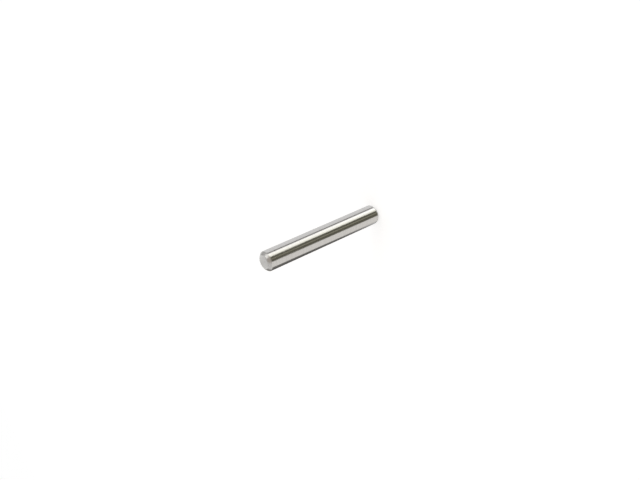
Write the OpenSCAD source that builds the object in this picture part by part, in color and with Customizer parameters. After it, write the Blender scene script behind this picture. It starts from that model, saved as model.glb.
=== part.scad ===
// A straight dowel pin: one turned and ground steel rod, standing on one end face.
// The axis is +Z, and the origin is the centre of the face that it stands on.

/* [Shank] */
// Diameter of the ground shank
shank_d = 8; // [4:0.5:20]
// Length over both end faces
pin_l = 55; // [20:1:120]

/* [Lead-ins] */
// Length of the lead-in at each end, along the axis
lead_l = 1.1; // [0.6:0.05:1.4]
// Angle between the lead-in and the axis
lead_angle = 44; // [15:1:50]

/* [Blends] */
// Radius that rounds the shank over into a lead-in
shank_blend_r = 0.8; // [0.1:0.1:1.2]
// Radius that rounds a lead-in over into its end face
face_blend_r = 0.8; // [0.1:0.1:1.2]

/* [Hidden] */
$fn = 96;
shank_r = shank_d / 2;
lead_depth = lead_l * tan(lead_angle);
face_r = shank_r - lead_depth;
// The most of a side that one blend may use up, so that the blends at its ends never meet
side_share = 0.5;
// Small angle at which a blend's arc runs into the straight sides, so that they cross at clear points
meeting_angle = 3;

// Corners of the half section, in order from the lower end of the axis to the upper end
section_corners = [
    [0, 0],
    [face_r, 0],
    [shank_r, lead_l],
    [shank_r, pin_l - lead_l],
    [face_r, pin_l],
    [0, pin_l]
];
// Blend radius wanted at each of those corners
section_radii = [0, face_blend_r, shank_blend_r, shank_blend_r, face_blend_r, 0];

// Unit vector from point a to point b
function towards(a, b) = (b - a) / norm(b - a);

// Half of the angle inside a corner, between its two sides
function half_angle(before, corner, after) =
    acos(towards(corner, before) * towards(corner, after)) / 2;

// The wanted blend radius, or the largest one that the shorter side has room for
function fitting_radius(before, corner, after, wanted) =
    let (room = side_share * min(norm(before - corner), norm(after - corner)))
    min(wanted, room * tan(half_angle(before, corner, after)));

// What a blend of radius r takes off the corner of a section
module corner_waste(before, corner, after, r) {
    half = half_angle(before, corner, after);
    setback = r / tan(half);
    inward = towards([0, 0], towards(corner, before) + towards(corner, after));
    start = corner + setback * towards(corner, before);
    finish = corner + setback * towards(corner, after);
    difference() {
        polygon([start, start - r * inward, corner - r * inward, finish - r * inward, finish]);
        translate(corner + r / sin(half) * inward) circle(r / cos(meeting_angle));
    }
}

// The pin, turned from its half section
module pin() {
    color("silver") rotate_extrude() difference() {
        polygon(section_corners);
        for (i = [1 : len(section_corners) - 2]) {
            before = section_corners[i - 1];
            corner = section_corners[i];
            after = section_corners[i + 1];
            r = fitting_radius(before, corner, after, section_radii[i]);
            corner_waste(before, corner, after, r);
        }
    }
}

pin();
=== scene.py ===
"""A straight dowel pin of ground steel, standing on one end face.

Everything is in metres in the pin's own frame: its axis is +Z and its lower end face lies at z = 0.
"""
from math import cos, pi, radians, sin, tan
from typing import NamedTuple

import bpy
import numpy as np
from mathutils import Matrix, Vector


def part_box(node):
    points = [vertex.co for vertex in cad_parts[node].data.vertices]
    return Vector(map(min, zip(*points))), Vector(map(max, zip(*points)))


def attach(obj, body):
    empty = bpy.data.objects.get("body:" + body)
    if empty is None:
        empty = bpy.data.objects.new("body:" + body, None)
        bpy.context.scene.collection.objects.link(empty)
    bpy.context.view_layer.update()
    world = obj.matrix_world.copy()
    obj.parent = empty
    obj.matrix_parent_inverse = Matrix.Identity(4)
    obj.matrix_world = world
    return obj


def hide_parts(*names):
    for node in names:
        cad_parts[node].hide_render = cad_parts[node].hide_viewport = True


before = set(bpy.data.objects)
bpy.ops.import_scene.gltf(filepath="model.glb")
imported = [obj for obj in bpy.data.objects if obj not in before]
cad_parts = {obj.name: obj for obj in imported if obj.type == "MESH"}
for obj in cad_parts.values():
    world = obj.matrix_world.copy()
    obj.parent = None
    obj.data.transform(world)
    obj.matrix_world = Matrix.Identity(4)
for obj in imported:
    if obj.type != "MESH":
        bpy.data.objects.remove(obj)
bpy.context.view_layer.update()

# Sizes of the pin. The diameter and the length come from the frame.
pin_low, pin_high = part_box("pin")
SHANK_R = (pin_high[0] - pin_low[0]) / 2
PIN_LENGTH = pin_high[2] - pin_low[2]
LEAD_LENGTH = 0.0011
LEAD_ANGLE = radians(44)
SHANK_BLEND_R = 0.0008
FACE_BLEND_R = 0.0008

# How finely the turned surface is divided
SIDES = 256
FACE_ROWS = 20
BLEND_ROWS = 14
LEAD_ROWS = 10
SHANK_ROWS = 60

# Finishes, in the order of the piece's material slots
FACED, TURNED, GROUND = 0, 1, 2
# How far the wear of a rounded edge fades out beyond its blend
WEAR_REACH = 0.0004
# Pitch of the tool's marks on a lead-in and on an end face
FEED_PITCH = 0.00009
FACING_PITCH = 0.00014

# The floor's half width, how far it lies below the pin, its colour, and what lifts it to white for
# the camera
FLOOR_HALF = 3.0
FLOOR_GAP = 0.00001
FLOOR_COLOUR = (0.8, 0.8, 0.8)
FLOOR_LIFT = 0.56

# Where the camera stands, seen from the pin
IMAGE_W, IMAGE_H = 640, 480
SENSOR_W = 36.0
FOCAL_PX = 647.9
LEAN = radians(31.79)
TURN = radians(24.136)
NEAR_END_PX = (263.78, 262.41)
NEAR_END_DEPTH = 0.23776


# ---------------------------------------------------------------- the pin's shape

def crowded(rows):
    """Places from 0 to 1 that crowd towards both ends: half of one minus the cosine of a half turn."""
    return (1 - np.cos(np.linspace(0, pi, rows + 1))) / 2


def turned_path(steps):
    """A path in the half section that starts at the axis and runs outwards.

    Each step is (length, turn, rows). Along a step the heading h grows evenly from h0 to h0 + turn. A
    straight step adds length * (cos h0, sin h0). A curved one has the radius R = length / turn and adds
    R * (sin h - sin h0, cos h0 - cos h), so each step leaves in the direction in which the next one starts.
    """
    points = [np.zeros((1, 2))]
    heading = 0.0
    for length, turn, rows in steps:
        start = points[-1][-1]
        if turn:
            h = heading + turn * np.linspace(0, 1, rows + 1)[1:]
            radius = length / turn
            step = radius * np.column_stack([np.sin(h) - sin(heading), cos(heading) - np.cos(h)])
        else:
            along = length * crowded(rows)[1:]
            step = np.outer(along, [cos(heading), sin(heading)])
        points.append(start + step)
        heading += turn
    return np.concatenate(points)


def end_profile():
    """The half section from the axis over the end face, the lead-in and its blends to the shank.

    A blend of radius R that turns the path by an angle a has the length R * a, and takes R * tan(a / 2)
    off the straight stretch on each side of it.
    """
    face_turn = pi / 2 - LEAD_ANGLE
    face_setback = FACE_BLEND_R * tan(face_turn / 2)
    shank_setback = SHANK_BLEND_R * tan(LEAD_ANGLE / 2)
    face_length = SHANK_R - LEAD_LENGTH * tan(LEAD_ANGLE) - face_setback
    lead_length = LEAD_LENGTH / cos(LEAD_ANGLE) - face_setback - shank_setback
    return turned_path([
        (face_length, 0, FACE_ROWS),
        (FACE_BLEND_R * face_turn, face_turn, BLEND_ROWS),
        (lead_length, 0, LEAD_ROWS),
        (SHANK_BLEND_R * LEAD_ANGLE, LEAD_ANGLE, BLEND_ROWS),
    ])


def whole_profile():
    """The lower end, the shank and the upper end: the upper end is the lower one with z as L - z.

    With it come the finish of each stretch between two points, and the wear at each point: one on a blend,
    and on either side one minus the distance to the blend over the reach of the wear, down to nought.
    """
    lower = end_profile()
    upper = (lower * [1, -1] + [0, PIN_LENGTH])[::-1]
    t = crowded(SHANK_ROWS)[1:-1, None]
    profile = np.concatenate([lower, lower[-1] + t * (upper[0] - lower[-1]), upper])

    face_end = FACE_ROWS + BLEND_ROWS // 2
    end_zones = np.repeat([FACED, TURNED], [face_end, len(lower) - 1 - face_end])
    zone = np.concatenate([end_zones, np.full(SHANK_ROWS, GROUND), end_zones[::-1]])

    path = path_along(lower)
    blend_from, blend_to = path[[FACE_ROWS, -1 - BLEND_ROWS]], path[[FACE_ROWS + BLEND_ROWS, -1]]
    whole = path_along(profile)
    from_end = np.minimum(whole, whole[-1] - whole)[:, None]
    away = np.maximum(np.maximum(blend_from - from_end, from_end - blend_to), 0).min(axis=1)
    wear = np.clip(1 - away / WEAR_REACH, 0, 1)
    return profile, zone, wear


def path_along(profile):
    """Distance from the first point to each point, along the profile."""
    return np.concatenate([[0], np.cumsum(np.linalg.norm(np.diff(profile, axis=0), axis=1))])


def revolved(name, profile, zone, wear):
    """A closed mesh: the profile point (r, z) at the angle a is (r cos a, r sin a, z).

    The first and last points of the profile are on the axis, and each is one vertex. The map's U is the
    share of the profile's length, and its V goes once round the pin.
    """
    ring = profile[1:-1]
    rows = len(ring)
    a = np.linspace(0, 2 * pi, SIDES, endpoint=False)
    r = ring[:, 0, None]
    grid = np.stack([r * np.cos(a), r * np.sin(a), np.broadcast_to(ring[:, 1, None], (rows, SIDES))], axis=2)
    poles = np.array([[0, 0, profile[0, 1]], [0, 0, profile[-1, 1]]])
    points = np.concatenate([grid.reshape(-1, 3), poles])
    low_pole, high_pole = rows * SIDES, rows * SIDES + 1

    j = np.arange(SIDES)
    k = (j + 1) % SIDES
    i = np.arange(rows - 1)[:, None] * SIDES
    quads = np.stack([i + j, i + k, i + SIDES + k, i + SIDES + j], axis=2).reshape(-1, 4)
    low_fan = np.column_stack([np.full(SIDES, low_pole), k, j])
    top = (rows - 1) * SIDES
    high_fan = np.column_stack([np.full(SIDES, high_pole), top + j, top + k])
    mesh = bpy.data.meshes.new(name)
    mesh.from_pydata(points.tolist(), [], quads.tolist() + low_fan.tolist() + high_fan.tolist())

    u = path_along(profile) / path_along(profile)[-1]
    v0, v1 = j / SIDES, (j + 1) / SIDES
    mid = (v0 + v1) / 2
    flat = np.zeros((rows - 1, SIDES))
    near, far = flat + u[1:-2, None], flat + u[2:-1, None]
    left, right = flat + v0, flat + v1
    quad_map = np.stack([near, left, near, right, far, right, far, left], axis=2).reshape(-1)
    inner, outer = 0 * mid + u[1], 0 * mid + u[-2]
    low_map = np.column_stack([0 * mid, mid, inner, v1, inner, v0]).reshape(-1)
    high_map = np.column_stack([0 * mid + 1, mid, outer, v0, outer, v1]).reshape(-1)
    mesh.uv_layers.new(name="turned").data.foreach_set("uv", np.concatenate([quad_map, low_map, high_map]))

    finish = np.concatenate([np.repeat(zone[1:-1], SIDES), np.repeat(zone[[0, -1]], SIDES)])
    mesh.polygons.foreach_set("material_index", finish)
    mesh.polygons.foreach_set("use_smooth", np.ones(len(mesh.polygons), bool))
    rubbed = np.concatenate([np.repeat(wear[1:-1], SIDES), wear[[0, -1]]])
    mesh.attributes.new("wear", "FLOAT", "POINT").data.foreach_set("value", rubbed)
    return mesh


# Length of the pin's profile, from pole to pole
PATH_LENGTH = path_along(whole_profile()[0])[-1]


# ---------------------------------------------------------------- nodes

class Nodes:
    """A short way to add nodes to one tree and to link them."""

    def __init__(self, owner):
        owner.use_nodes = True
        self.tree = owner.node_tree
        self.tree.nodes.clear()

    def add(self, kind, inputs=(), **settings):
        node = self.tree.nodes.new(kind)
        for key, value in settings.items():
            setattr(node, key, value)
        for key, value in dict(inputs).items():
            if isinstance(value, bpy.types.NodeSocket):
                self.tree.links.new(value, node.inputs[key])
            else:
                node.inputs[key].default_value = value
        return node

    def math(self, operation, *values):
        return self.add("ShaderNodeMath", dict(enumerate(values)), operation=operation).outputs[0]

    def spread(self, value, low, high, to_low=0.0, to_high=1.0, smooth=False):
        """A value between low and high, carried over to the range from to_low to to_high and held there."""
        return self.add("ShaderNodeMapRange", {
            "Value": value, "From Min": low, "From Max": high, "To Min": to_low, "To Max": to_high,
        }, interpolation_type="SMOOTHSTEP" if smooth else "LINEAR").outputs["Result"]

    def mix_colour(self, share, a, b, label=""):
        node = self.add("ShaderNodeMix", {0: share}, data_type="RGBA", label=label)
        for key, value in ((6, a), (7, b)):
            if isinstance(value, bpy.types.NodeSocket):
                self.tree.links.new(value, node.inputs[key])
            else:
                node.inputs[key].default_value = (*value, 1)
        return node.outputs[2]

    def noise(self, place, grain, detail, slant=0.0):
        """Noise in [0, 1] whose grains have the given length in metres on each axis, slanted about Z."""
        mapped = self.add("ShaderNodeMapping", {"Vector": place, "Rotation": (0, 0, slant), "Scale": grain},
                          vector_type="TEXTURE")
        return self.add("ShaderNodeTexNoise", {
            "Vector": mapped.outputs[0], "Scale": 1.0, "Detail": detail, "Roughness": 0.6,
        }).outputs["Fac"]

    def bump(self, height, depth, normal=None):
        inputs = {"Height": height, "Distance": depth, "Strength": 1.0}
        if normal:
            inputs["Normal"] = normal
        return self.add("ShaderNodeBump", inputs).outputs[0]


# ---------------------------------------------------------------- steel

STEEL_PALE = (0.75, 0.74, 0.72)
STEEL_DEEP = (0.67, 0.66, 0.64)

# Lengths of the grains of each kind of noise, in metres along the pin's x, y and z
HAIR_GRAIN = (9e-3, 9e-3, 7e-5)
BAND_GRAIN = (1.7e-2, 1.7e-2, 7.7e-4)
SMEAR_GRAIN = (5.5e-3, 5.5e-3, 9e-3)
WAVE_GRAIN = (2.4e-3, 2.4e-3, 3.8e-3)
LEAD_GRAIN = (1.4e-3, 1.4e-3, 2e-4)
WANDER_GRAIN = (2e-3, 2e-3, 2e-3)
FACE_GRAIN = (3.8e-4, 3.8e-4, 3.8e-4)
DENT_GRAIN = (6.7e-4, 6.7e-4, 6.7e-4)
WEAR_GRAIN = (1.1e-3, 1.1e-3, 1.1e-3)
# The same on the unrolled surface, along the profile and round the pin, with the slants of the scratches
LONG_SCRATCH, LONG_SLANT = (3e-3, 7e-5, 1), 0.5
SHORT_SCRATCH, SHORT_SLANT = (2e-3, 5e-5, 1), -0.9
SCRATCH_PATCHES = (4e-3, 4e-3, 1)

# Depths of the bumps, in metres
WAVE_DEPTH = 4e-6
HAIR_DEPTH = 6e-7
SCRATCH_DEPTH = 1.2e-6
LEAD_DEPTH = 1.6e-6
FACE_DEPTH = 2.2e-6
DENT_DEPTH = 4e-6

# How strongly each finish draws its glints out along the profile
SHANK_DRAW = 0.55
END_DRAW = 0.35


def steel_shader(n, colour, roughness, normal, grain):
    """Metal whose glints run along the profile, across the marks that go round the pin."""
    along = n.add("ShaderNodeTangent", direction_type="UV_MAP", uv_map="turned").outputs[0]
    shader = n.add("ShaderNodeBsdfPrincipled", {
        "Base Color": colour, "Metallic": 1.0, "Roughness": roughness, "Anisotropic": grain,
        "Normal": normal, "Tangent": along,
    })
    n.add("ShaderNodeOutputMaterial", {"Surface": shader.outputs["BSDF"]})


def handling_marks(n):
    """Sparse hair scratches on the unrolled surface: crests of noise drawn out along two slanting lines."""
    turned = n.add("ShaderNodeUVMap", uv_map="turned").outputs[0]
    unrolled = n.add("ShaderNodeVectorMath", {0: turned, 1: (PATH_LENGTH, 2 * pi * SHANK_R, 0)},
                     operation="MULTIPLY").outputs[0]
    one = n.noise(unrolled, LONG_SCRATCH, 1, slant=LONG_SLANT)
    two = n.noise(unrolled, SHORT_SCRATCH, 1, slant=SHORT_SLANT)
    strength = n.spread(n.noise(unrolled, SCRATCH_PATCHES, 2), 0.45, 0.62)
    return n.math("MULTIPLY", n.spread(n.math("MAXIMUM", one, two), 0.71, 0.78), strength)


def worn(n, place):
    """How far tumbling has rubbed the rounded edges: the piece's own wear value, broken up by noise."""
    wear = n.add("ShaderNodeAttribute", attribute_name="wear").outputs["Fac"]
    return n.math("MULTIPLY", wear, n.spread(n.noise(place, WEAR_GRAIN, 3), 0.3, 0.6, 0.45, 1.0))


def ground_shank():
    """Bright ground steel: hair-fine marks round the shank, faint bands, smears and a few scratches."""
    material = bpy.data.materials.new("ground_shank")
    n = Nodes(material)
    place = n.add("ShaderNodeTexCoord").outputs["Object"]
    hairs = n.noise(place, HAIR_GRAIN, 3)
    bands = n.noise(place, BAND_GRAIN, 2)
    smears = n.noise(place, SMEAR_GRAIN, 3)
    scratches = handling_marks(n)
    tone = n.math("ADD", n.math("MULTIPLY", hairs, 0.6), n.math("MULTIPLY", bands, 0.4))
    colour = n.mix_colour(n.spread(tone, 0.35, 0.65), STEEL_DEEP, STEEL_PALE)
    rough = n.spread(tone, 0.35, 0.65, 0.17, 0.11)
    rough = n.math("ADD", rough, n.spread(smears, 0.45, 0.70, 0.0, 0.06))
    rough = n.math("MULTIPLY_ADD", scratches, 0.10, rough)
    rough = n.math("MULTIPLY_ADD", worn(n, place), 0.05, rough)
    normal = n.bump(n.noise(place, WAVE_GRAIN, 2), WAVE_DEPTH)
    normal = n.bump(hairs, HAIR_DEPTH, normal)
    normal = n.bump(n.math("SUBTRACT", 1.0, scratches), SCRATCH_DEPTH, normal)
    steel_shader(n, colour, rough, normal, SHANK_DRAW)
    return material


def turned_lead():
    """Satin turned steel: the tool's fine feed marks follow one another along the lead-in."""
    material = bpy.data.materials.new("turned_lead")
    n = Nodes(material)
    place = n.add("ShaderNodeTexCoord").outputs["Object"]
    turned = n.add("ShaderNodeUVMap", uv_map="turned").outputs[0]
    path = n.add("ShaderNodeSeparateXYZ", {0: turned}).outputs[0]
    feed = n.math("SINE", n.math("MULTIPLY", path, 2 * pi * PATH_LENGTH / FEED_PITCH))
    grain = n.noise(place, LEAD_GRAIN, 3)
    marks = n.math("MULTIPLY_ADD", feed, 0.22, grain)
    rub = worn(n, place)
    colour = n.mix_colour(n.spread(marks, 0.2, 0.8), STEEL_DEEP, STEEL_PALE)
    rough = n.spread(marks, 0.2, 0.8, 0.36, 0.27)
    rough = n.math("MULTIPLY_ADD", rub, -0.08, rough)
    normal = n.bump(marks, LEAD_DEPTH)
    steel_shader(n, colour, rough, normal, END_DRAW)
    return material


def faced_end():
    """Satin faced steel: rings round the axis, cut through by a little grain and a few dents of handling."""
    material = bpy.data.materials.new("faced_end")
    n = Nodes(material)
    place = n.add("ShaderNodeTexCoord").outputs["Object"]
    x, y, _ = n.add("ShaderNodeSeparateXYZ", {0: place}).outputs
    radius = n.math("SQRT", n.math("ADD", n.math("MULTIPLY", x, x), n.math("MULTIPLY", y, y)))
    wander = n.noise(place, WANDER_GRAIN, 2)
    turns = n.math("MULTIPLY_ADD", wander, 0.35, n.math("MULTIPLY", radius, 1 / FACING_PITCH))
    rings = n.math("SINE", n.math("MULTIPLY", turns, 2 * pi))
    grain = n.noise(place, FACE_GRAIN, 3)
    marks = n.math("MULTIPLY_ADD", rings, 0.2, grain)
    dents = n.spread(n.noise(place, DENT_GRAIN, 1), 0.68, 0.76)
    colour = n.mix_colour(n.spread(marks, 0.2, 0.8), STEEL_DEEP, STEEL_PALE)
    rough = n.spread(marks, 0.2, 0.8, 0.42, 0.32)
    rough = n.math("MULTIPLY_ADD", worn(n, place), -0.10, rough)
    normal = n.bump(marks, FACE_DEPTH)
    normal = n.bump(n.math("SUBTRACT", 1.0, dents), DENT_DEPTH, normal)
    steel_shader(n, colour, rough, normal, END_DRAW)
    return material


# ---------------------------------------------------------------- pin

def make_pin():
    """The whole pin: one closed turned surface with three finishes."""
    profile, zone, wear = whole_profile()
    mesh = revolved("dowel_pin", profile, zone, wear)
    for finish in (faced_end(), turned_lead(), ground_shank()):
        mesh.materials.append(finish)
    pin = bpy.data.objects.new("dowel_pin", mesh)
    bpy.context.scene.collection.objects.link(pin)
    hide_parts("pin")
    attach(pin, "root")


# ---------------------------------------------------------------- studio

class Card(NamedTuple):
    """A light, screen or gap that the steel mirrors, as a patch of the sky round the pin.

    Its sides are two upright lines: each is a bearing in degrees from the camera's side, and the degrees
    by which it moves for each degree above the height where the middle of the shank mirrors it. With no
    sides it goes all the way round. Its foot and its head are heights in degrees, and its edges fade over
    the degrees that soft gives, sideways and upwards.
    """
    name: str
    left: tuple | None
    right: tuple | None
    heights: tuple
    soft: tuple
    colour: tuple


MIDDLE_HEIGHT = -32
# How far from that height a side goes on leaning
LEAN_REACH = 9

ROOM = (0.79, 0.79, 0.80)
# A later card covers an earlier one
CARDS = [
    Card("pale table", (30, 0), (125, -1), (-90, 30), (6, 20), (0.805, 0.787, 0.768)),
    Card("right wall", (40, 0), (118, 0), (28, 90), (16, 16), (0.66, 0.65, 0.64)),
    Card("low light", (-105, 0), (-25, 0), (-90, -60), (20, 12), (1.30, 1.30, 1.30)),
    Card("low shade", (120, 0), (240, 0), (-90, -48), (20, 12), (0.35, 0.35, 0.345)),
    Card("shade at the foot", None, None, (-90, -74), (1, 10), (0.50, 0.50, 0.495)),
    Card("left screen", (-165, 0), (-74, 0), (4, 44), (16, 16), (0.46, 0.455, 0.45)),
    Card("slit", (-79.5, -0.2), (-67, -0.2), (-90, 30), (6, 6), (0.17, 0.165, 0.16)),
    Card("soft light", (-61.5, -0.3), (0, 0), (-90, 62), (5, 8), (1.40, 1.39, 1.35)),
    Card("light's edge", (-40, -0.3), (0, 0), (-90, 62), (12, 8), (1.20, 1.19, 1.09)),
    Card("far light", (-63, -0.3), (-40, -0.3), (-90, -36.3), (5, 1.6), (1.60, 1.62, 1.65)),
    Card("upper light", (-92, 0), (-56, 0), (38, 66), (12, 12), (1.20, 1.19, 1.17)),
    Card("upper screen", (-48, 0), (48, 0), (16, 90), (16, 16), (0.41, 0.37, 0.335)),
    Card("dark screen", (-22.5, -0.55), (37.5, -1.0), (-90, 14), (6, 8), (0.124, 0.119, 0.091)),
    Card("screen seam", (1.5, -0.6), (8.5, -0.6), (-90, 14), (4, 8), (0.33, 0.32, 0.255)),
    Card("back screen", (107, -1.6), (184, 0), (-36.2, 8), (7, 2.6), (0.15, 0.145, 0.14)),
    Card("back screen's end", (138, 0), (184, 0), (-36.2, 0), (14, 2.6), (0.08, 0.078, 0.075)),
    Card("back wall", (128, 0), (180, 0), (-12, 30), (14, 12), (0.28, 0.275, 0.265)),
    Card("overhead", (158, 0), (200, 0), (34, 90), (20, 12), (0.26, 0.235, 0.21)),
    Card("behind", (174, 0), (196, 0), (2, 36), (12, 12), (0.99, 0.995, 1.00)),
]


def studio_world():
    """White to the camera, and to everything else a pale room with the cards above."""
    world = bpy.data.worlds.new("studio")
    bpy.context.scene.world = world
    n = Nodes(world)
    x, y, z = n.add("ShaderNodeSeparateXYZ", {0: n.add("ShaderNodeTexCoord").outputs["Object"]}).outputs
    bearing = n.math("ARCTAN2", n.math("MULTIPLY", x, -1.0), n.math("MULTIPLY", y, -1.0))
    bearing = n.math("MULTIPLY", bearing, 180 / pi)
    height = n.math("MULTIPLY", n.math("ARCSINE", z), 180 / pi)
    above = n.spread(height, MIDDLE_HEIGHT - LEAN_REACH, MIDDLE_HEIGHT + LEAN_REACH, -LEAN_REACH, LEAN_REACH)

    def inside(distance, soft):
        return n.spread(distance, -soft / 2, soft / 2, smooth=True)

    def past(side):
        """How far the bearing is past a leaning side, the short way round."""
        at, lean = side
        leaning = n.math("MULTIPLY_ADD", above, lean, at)
        return n.math("WRAP", n.math("SUBTRACT", bearing, leaning), 180.0, -180.0)

    colour = ROOM
    for card in CARDS:
        low, high = card.heights
        across, upwards = card.soft
        parts = [
            inside(n.math("SUBTRACT", height, low), upwards),
            inside(n.math("SUBTRACT", high, height), upwards),
        ]
        if card.left:
            parts.append(inside(past(card.left), across))
            parts.append(inside(n.math("MULTIPLY", past(card.right), -1.0), across))
        share = parts[0]
        for part in parts[1:]:
            share = n.math("MULTIPLY", share, part)
        colour = n.mix_colour(share, colour, card.colour, label=card.name)
    seen = n.add("ShaderNodeBackground", {"Color": colour}).outputs[0]
    white = n.add("ShaderNodeBackground", {"Color": (1, 1, 1, 1)}).outputs[0]
    camera_ray = n.add("ShaderNodeLightPath").outputs["Is Camera Ray"]
    both = n.add("ShaderNodeMixShader", {0: camera_ray, 1: seen, 2: white}).outputs[0]
    n.add("ShaderNodeOutputWorld", {"Surface": both})


def make_floor():
    """A pale matt floor just under the pin: white where it is unshaded, with a soft shadow at the foot."""
    half, depth = FLOOR_HALF, -FLOOR_GAP
    mesh = bpy.data.meshes.new("floor")
    corners = [(-half, -half, depth), (half, -half, depth), (half, half, depth), (-half, half, depth)]
    mesh.from_pydata(corners, [], [(0, 1, 2, 3)])
    material = bpy.data.materials.new("pale_floor")
    n = Nodes(material)
    matt = n.add("ShaderNodeBsdfDiffuse", {"Color": (*FLOOR_COLOUR, 1)}).outputs[0]
    camera_ray = n.add("ShaderNodeLightPath").outputs["Is Camera Ray"]
    lift = n.add("ShaderNodeEmission", {"Color": (1, 1, 1, 1),
                                        "Strength": n.math("MULTIPLY", camera_ray, FLOOR_LIFT)})
    both = n.add("ShaderNodeAddShader", {0: matt, 1: lift.outputs[0]}).outputs[0]
    n.add("ShaderNodeOutputMaterial", {"Surface": both})
    mesh.materials.append(material)
    floor = bpy.data.objects.new("floor", mesh)
    bpy.context.scene.collection.objects.link(floor)
    floor.visible_glossy = False
    floor.visible_shadow = False


def make_camera():
    """The camera, placed by its view of the pin: away points down the pin, on the camera's own axes."""
    away = np.array([cos(LEAN) * cos(TURN), -cos(LEAN) * sin(TURN), sin(LEAN)])
    forward = np.array([0.0, 0.0, 1.0])
    axis_z = -away
    axis_y = forward - (forward @ axis_z) * axis_z
    axis_y /= np.linalg.norm(axis_y)
    axis_x = np.cross(axis_y, axis_z)
    to_frame = np.stack([axis_x, axis_y, axis_z])
    near_end = NEAR_END_DEPTH * np.array([(NEAR_END_PX[0] - IMAGE_W / 2) / FOCAL_PX,
                                          (NEAR_END_PX[1] - IMAGE_H / 2) / FOCAL_PX, 1.0])
    place = np.array([0, 0, PIN_LENGTH]) - to_frame @ near_end
    data = bpy.data.cameras.new("camera")
    data.sensor_fit = "HORIZONTAL"
    data.sensor_width = SENSOR_W
    data.lens = FOCAL_PX * SENSOR_W / IMAGE_W
    data.clip_start = 0.001
    camera = bpy.data.objects.new("camera", data)
    matrix = np.eye(4)
    matrix[:3, 0] = to_frame[:, 0]
    matrix[:3, 1] = -to_frame[:, 1]
    matrix[:3, 2] = -to_frame[:, 2]
    matrix[:3, 3] = place
    camera.matrix_world = Matrix(matrix.tolist())
    bpy.context.scene.collection.objects.link(camera)
    bpy.context.scene.camera = camera


make_camera()
make_pin()
studio_world()
make_floor()
bpy.context.scene.view_settings.view_transform = "Standard"
